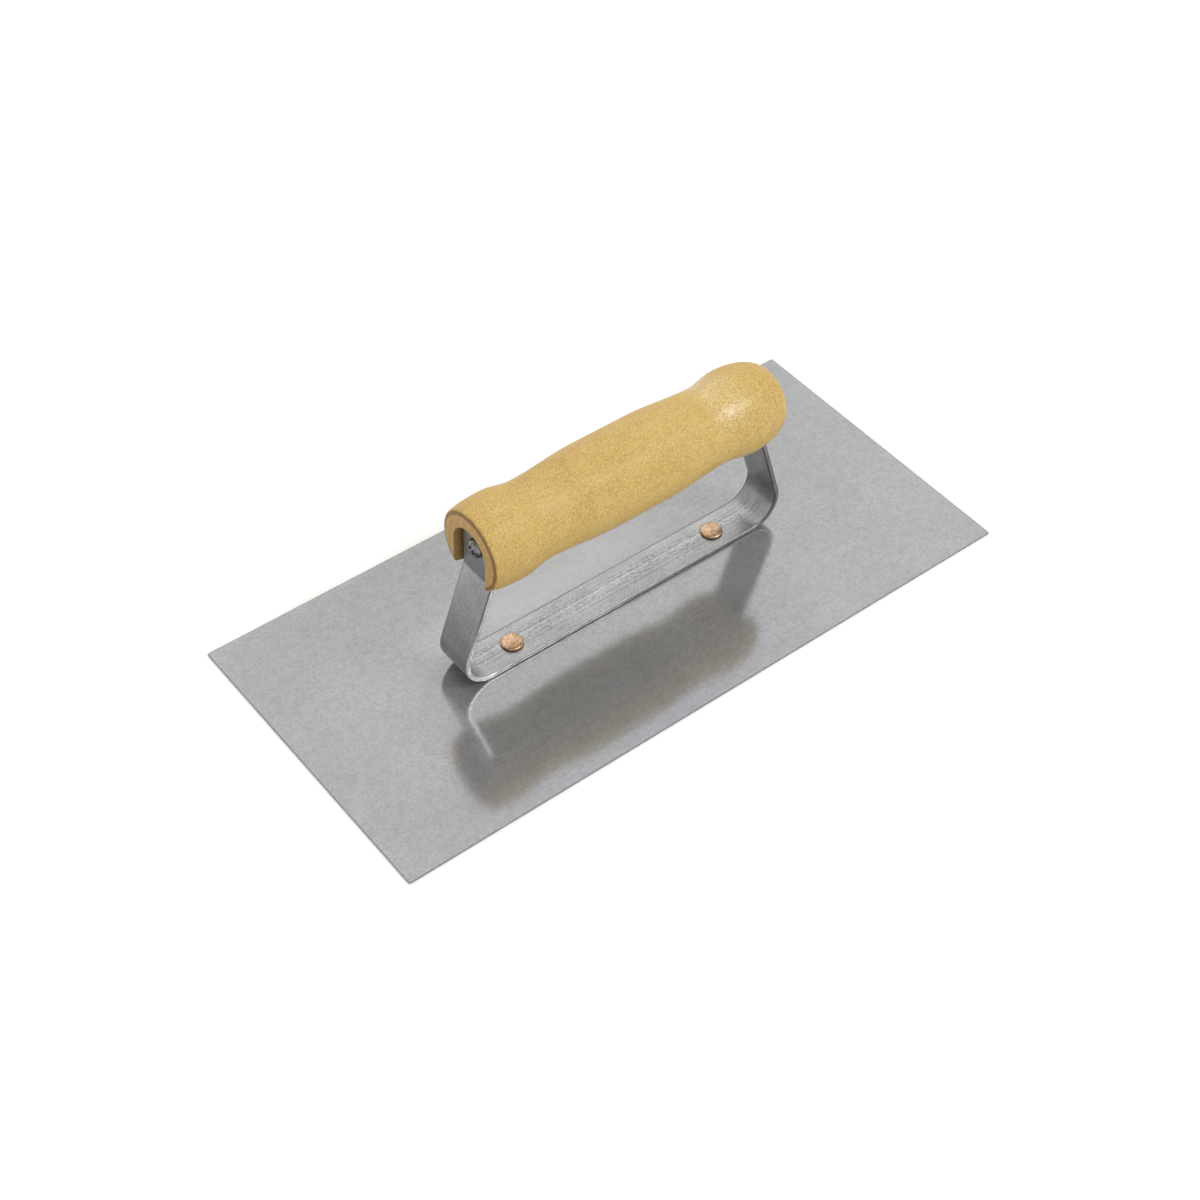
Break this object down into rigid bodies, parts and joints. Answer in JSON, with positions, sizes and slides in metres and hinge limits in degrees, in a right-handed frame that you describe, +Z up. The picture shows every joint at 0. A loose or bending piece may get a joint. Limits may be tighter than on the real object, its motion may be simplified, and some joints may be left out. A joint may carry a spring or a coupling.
{
  "type": "steel finishing trowel",
  "caption": "Plasterer's finishing trowel: a thin flat rectangular steel blade with a bent steel strap riveted on top that carries a turned and varnished wooden handle.",
  "frame": {"origin": "middle of the blade's underside, which is the face that rests on the work", "axes": "+X along the blade and the handle towards the handle's rounded rear end, +Y across the blade, +Z up from the blade to the handle"},
  "size_m": [0.28, 0.13, 0.0807],
  "materials": {
    "blade_steel": "cold rolled sheet, satin, faintly brushed along its length",
    "strap_steel": "zinc-grey strip with fine lines along its length",
    "varnished_pine": "turned pine under a thin golden varnish, semi gloss",
    "rivet_copper": "copper coloured, semi gloss",
    "screw_zinc": "bright zinc plating"
  },
  "bodies": {
    "root": {"blade": "blade_steel", "bracket": "strap_steel", "handle": "varnished_pine", "rivet_front": "rivet_copper", "rivet_rear": "rivet_copper", "screw_front": "screw_zinc", "screw_rear": "screw_zinc"}
  },
  "joints": []
}
